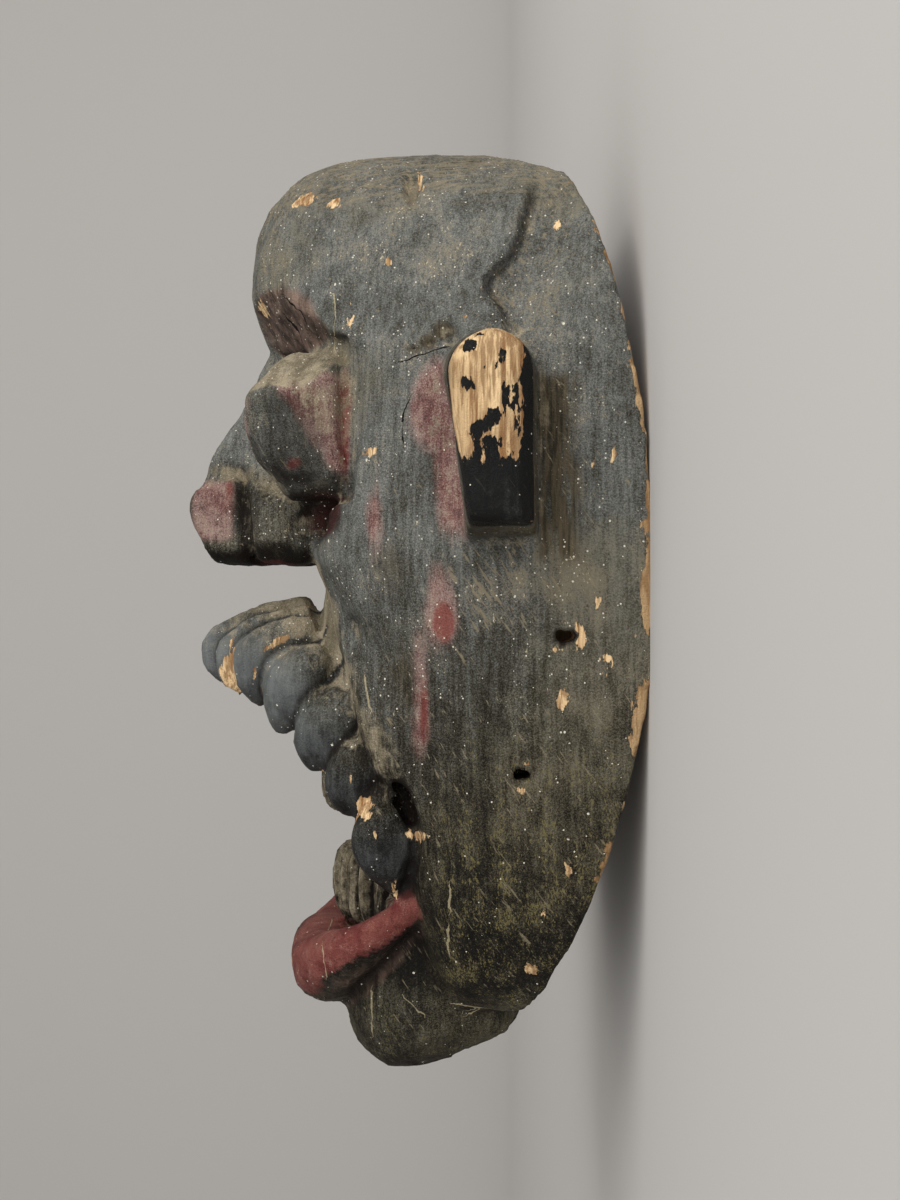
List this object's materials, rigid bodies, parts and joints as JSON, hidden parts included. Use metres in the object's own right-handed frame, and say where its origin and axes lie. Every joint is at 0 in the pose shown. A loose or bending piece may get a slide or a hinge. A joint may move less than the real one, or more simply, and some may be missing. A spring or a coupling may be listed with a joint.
{
  "type": "carved wooden mask",
  "caption": "Carved wooden face mask, hollowed behind, with a heavy brow, bulging eyes, broad nose, locked moustache, open mouth with teeth, jutting lip and block ears.",
  "frame": {"origin": "on the floor plane under the middle of the mask, which lies on its rim with its face up", "axes": "+X towards the mask's own left ear, +Y towards its crown, +Z the way the face looks"},
  "size_m": [0.21, 0.2916, 0.14],
  "materials": {
    "painted_wood": "worn dull black paint over bare wood, with red on eyes, nose and lip"
  },
  "bodies": {
    "root": {"mask": "painted_wood"}
  },
  "joints": []
}
